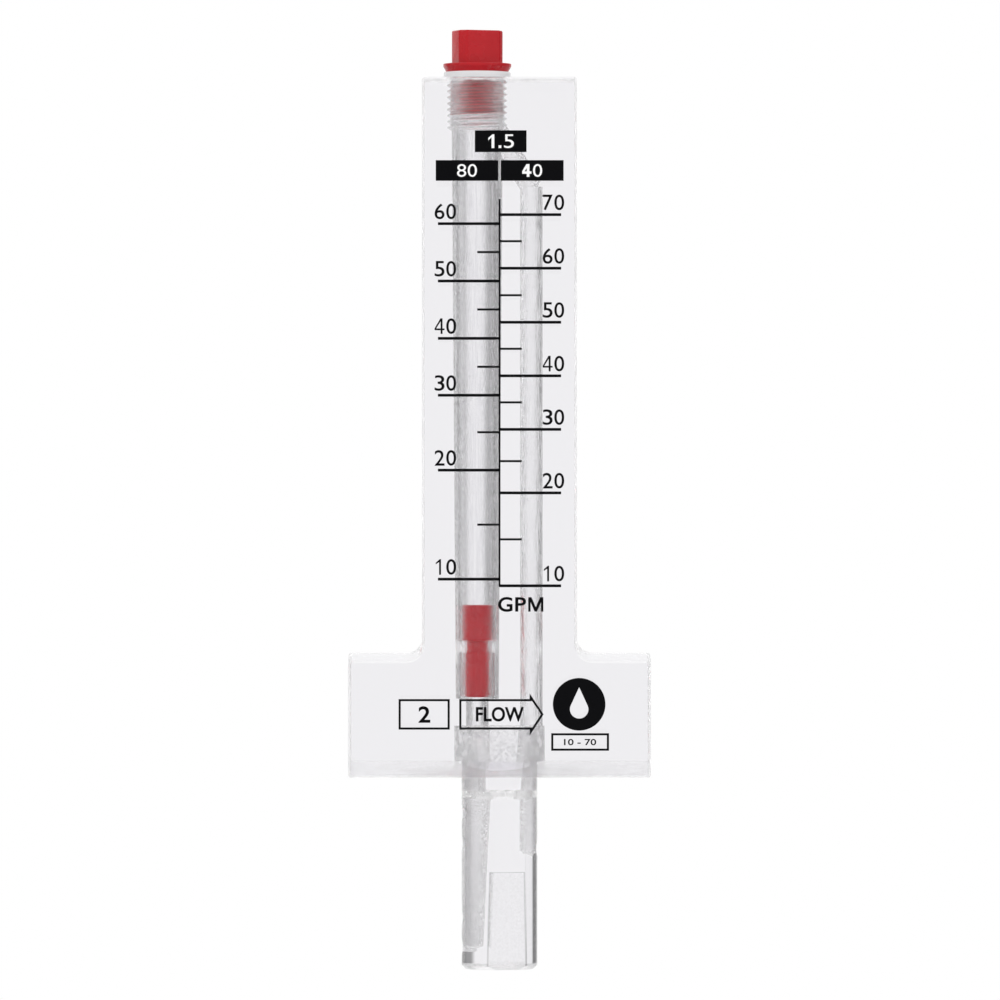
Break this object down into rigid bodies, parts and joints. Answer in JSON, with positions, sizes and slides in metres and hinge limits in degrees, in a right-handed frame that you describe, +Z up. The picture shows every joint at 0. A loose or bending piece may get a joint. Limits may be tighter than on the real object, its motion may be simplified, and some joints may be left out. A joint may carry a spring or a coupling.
{
  "type": "flow meter",
  "caption": "Clear saddle-mounted insertion flow meter with a tapered metering bore, a red float, a ported probe and a screw plug.",
  "frame": {"origin": "crown of the pipe saddle, on the probe's axis", "axes": "+Z up along the probe and the bores, front with the scales faces -Y, pipe along X with the flow towards +X"},
  "size_m": [0.0636, 0.0254, 0.1978],
  "materials": {
    "clear_acrylic": "polished clear acrylic",
    "red_plastic": "glossy red moulded plastic",
    "clear_seal": "translucent silicone",
    "black_print": "screen-printed ink"
  },
  "bodies": {
    "block": {"meter_body": "clear_acrylic", "probe_collar": "clear_acrylic", "probe_tip": "clear_acrylic"},
    "float": {"float": "red_plastic"},
    "seal": {"plug_seal": "clear_seal"},
    "plug": {"top_plug": "red_plastic"}
  },
  "joints": [
    {"name": "float_rise", "type": "slide", "parent": "block", "child": "float", "axis": [0, 0, 1], "range_m": [0, 0.1025]},
    {"name": "plug_lift", "type": "slide", "parent": "block", "child": "seal", "axis": [0, 0, 1], "range_m": [0, 0.01143]},
    {"name": "plug_turn", "type": "hinge", "parent": "seal", "child": "plug", "pos_m": [-0.0047, 0, 0.14], "axis": [0, 0, 1], "range_deg": [0, 3240]}
  ],
  "couplings": [
    {"joint": "plug_turn", "follows": "plug_lift", "rad_per_m": 4947.4}
  ]
}
